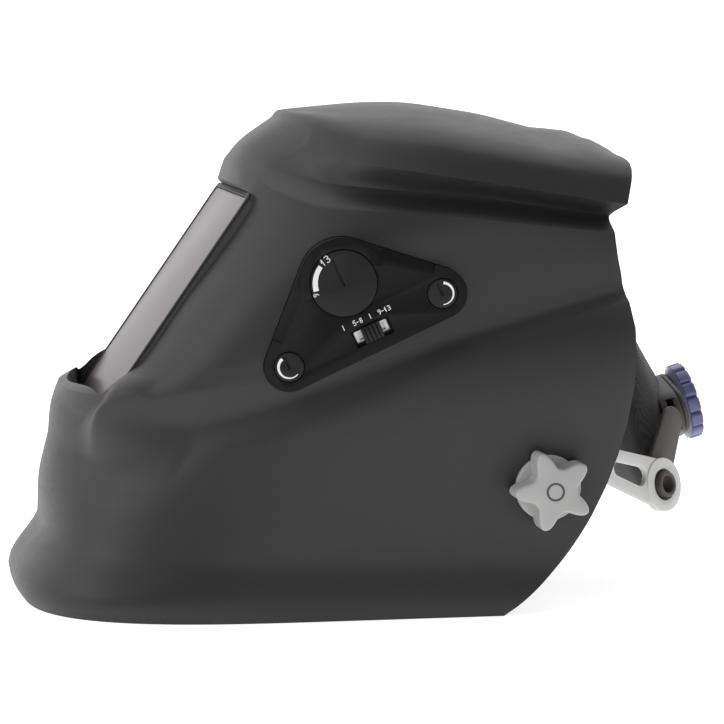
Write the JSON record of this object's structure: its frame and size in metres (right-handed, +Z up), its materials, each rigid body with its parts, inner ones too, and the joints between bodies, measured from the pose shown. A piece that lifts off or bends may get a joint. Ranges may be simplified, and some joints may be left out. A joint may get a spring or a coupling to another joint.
{
  "type": "welding helmet",
  "caption": "Full-face welding helmet: sloped lens with filter cartridge, side control panel, star tension knobs and an adjustable head band with ratchet.",
  "frame": {"origin": "middle of the bounding box on the plane of the bottom rim", "axes": "-X towards the front of the face, +Y the wearer's right, +Z up"},
  "size_m": [0.36, 0.263, 0.246],
  "materials": {
    "shell_plastic": "moulded satin charcoal",
    "gasket_rubber": "matt",
    "lens_clear": "scratch-coated polycarbonate",
    "frame_plastic": "satin black",
    "cartridge_plastic": "fine texture",
    "filter": "dark green-gold filter",
    "solar": "dark violet cells",
    "inner_clear": "clear",
    "latch_plastic": "satin",
    "cell_steel": "nickel plated",
    "panel_plastic": "fine texture black",
    "board": "solder mask green",
    "socket_plastic": "blue",
    "plated_steel": "zinc plated",
    "cable_jacket": "matt black",
    "nylon_black": "satin",
    "knob_grey": "satin translucent grey",
    "band_grey": "soft satin",
    "sweat_fabric": "padded knit",
    "strap_grey": "light grey satin",
    "link_brown": "warm dark grey",
    "pinion_white": "natural acetal",
    "knob_blue": "violet blue"
  },
  "bodies": {
    "helmet_shell": {"shell": "shell_plastic", "lens_gasket": "gasket_rubber", "outer_cover_lens": "lens_clear", "lens_frame": "frame_plastic", "cartridge_front": "cartridge_plastic", "filter_glass": "filter", "solar_cell": "solar", "arc_sensors": "solar", "cartridge_back": "cartridge_plastic", "inner_cover_lens": "inner_clear", "cartridge_retainer": "frame_plastic", "panel_base": "panel_plastic", "panel_cover": "panel_plastic", "control_board": "board", "dial_sockets": "socket_plastic", "slide_switch": "plated_steel", "panel_back_cover": "panel_plastic", "panel_screws": "plated_steel", "control_cable": "cable_jacket"},
    "latch": {"retainer_latch": "latch_plastic"},
    "tray_left": {"battery_tray_left": "cartridge_plastic", "coin_cell_left": "cell_steel"},
    "tray_right": {"battery_tray_right": "cartridge_plastic", "coin_cell_right": "cell_steel"},
    "shade_dial": {"shade_knob": "panel_plastic"},
    "delay_dial": {"delay_knob": "panel_plastic"},
    "sensitivity_dial": {"sensitivity_knob": "panel_plastic"},
    "mode_switch": {"mode_slider": "panel_plastic"},
    "arms": {"stud_left": "plated_steel", "stud_right": "plated_steel", "washer_left": "nylon_black", "washer_right": "nylon_black", "tilt_arm_left": "nylon_black", "tilt_arm_right": "nylon_black"},
    "knob_left": {"tension_knob_left": "knob_grey", "knob_nut_left": "plated_steel"},
    "knob_right": {"tension_knob_right": "knob_grey", "knob_nut_right": "plated_steel"},
    "headgear": {"front_band": "band_grey", "sweat_band": "sweat_fabric", "side_plate_left": "strap_grey", "side_plate_right": "strap_grey", "crown_strap_front": "band_grey", "crown_strap_rear": "band_grey", "crown_pins": "strap_grey", "nape_strap_left": "strap_grey", "nape_strap_right": "strap_grey", "nape_pins": "strap_grey"},
    "cradle": {"cradle_link_left": "link_brown", "cradle_link_right": "link_brown", "rear_pad": "sweat_fabric", "ratchet_housing": "link_brown", "ratchet_cover": "link_brown", "ratchet_rivets": "link_brown"},
    "size_knob": {"ratchet_knob": "knob_blue", "ratchet_pinion": "pinion_white"}
  },
  "joints": [
    {"name": "headgear_tilt", "type": "hinge", "parent": "helmet_shell", "child": "arms", "pos_m": [0.0708, 0, 0.0627], "axis": [0, 1, 0], "range_deg": [-30, 39]},
    {"name": "distance_slide", "type": "slide", "parent": "arms", "child": "headgear", "axis": [0.9613, 0, 0.2756], "range_m": [-0.008, 0.008]},
    {"name": "tension_left", "type": "hinge", "parent": "arms", "child": "knob_left", "pos_m": [0.0708, -0.118, 0.0627], "axis": [0, -1, 0], "range_deg": [-180, 180]},
    {"name": "tension_right", "type": "hinge", "parent": "arms", "child": "knob_right", "pos_m": [0.0708, 0.118, 0.0627], "axis": [0, 1, 0], "range_deg": [-180, 180]},
    {"name": "cradle_swing", "type": "hinge", "parent": "headgear", "child": "cradle", "pos_m": [0.14416, 0, 0.05357], "axis": [0, 1, 0], "range_deg": [-5, 5]},
    {"name": "size_turn", "type": "hinge", "parent": "cradle", "child": "size_knob", "pos_m": [0.16748, 0, 0.08834], "axis": [0.9613, 0, 0.2756], "continuous": true},
    {"name": "shade_turn", "type": "hinge", "parent": "helmet_shell", "child": "shade_dial", "pos_m": [-0.02825, -0.11005, 0.16252], "axis": [-0.1045, -0.9945, 0], "range_deg": [-135, 135]},
    {"name": "delay_turn", "type": "hinge", "parent": "helmet_shell", "child": "delay_dial", "pos_m": [0.01871, -0.11499, 0.15727], "axis": [-0.1045, -0.9945, 0], "range_deg": [-135, 135]},
    {"name": "sensitivity_turn", "type": "hinge", "parent": "helmet_shell", "child": "sensitivity_dial", "pos_m": [-0.05407, -0.10734, 0.1225], "axis": [-0.1045, -0.9945, 0], "range_deg": [-135, 135]},
    {"name": "mode_slide", "type": "slide", "parent": "helmet_shell", "child": "mode_switch", "axis": [0.9085, -0.0955, 0.4067], "range_m": [-0.0045, 0.0045]},
    {"name": "tray_slide_left", "type": "slide", "parent": "helmet_shell", "child": "tray_left", "axis": [-0.5693, 0, -0.8221], "range_m": [0, 0.015]},
    {"name": "tray_slide_right", "type": "slide", "parent": "helmet_shell", "child": "tray_right", "axis": [-0.5693, 0, -0.8221], "range_m": [0, 0.015]},
    {"name": "latch_turn", "type": "hinge", "parent": "helmet_shell", "child": "latch", "pos_m": [-0.05736, 0, 0.18646], "axis": [0.8221, 0, -0.5693], "range_deg": [0, 90]}
  ]
}
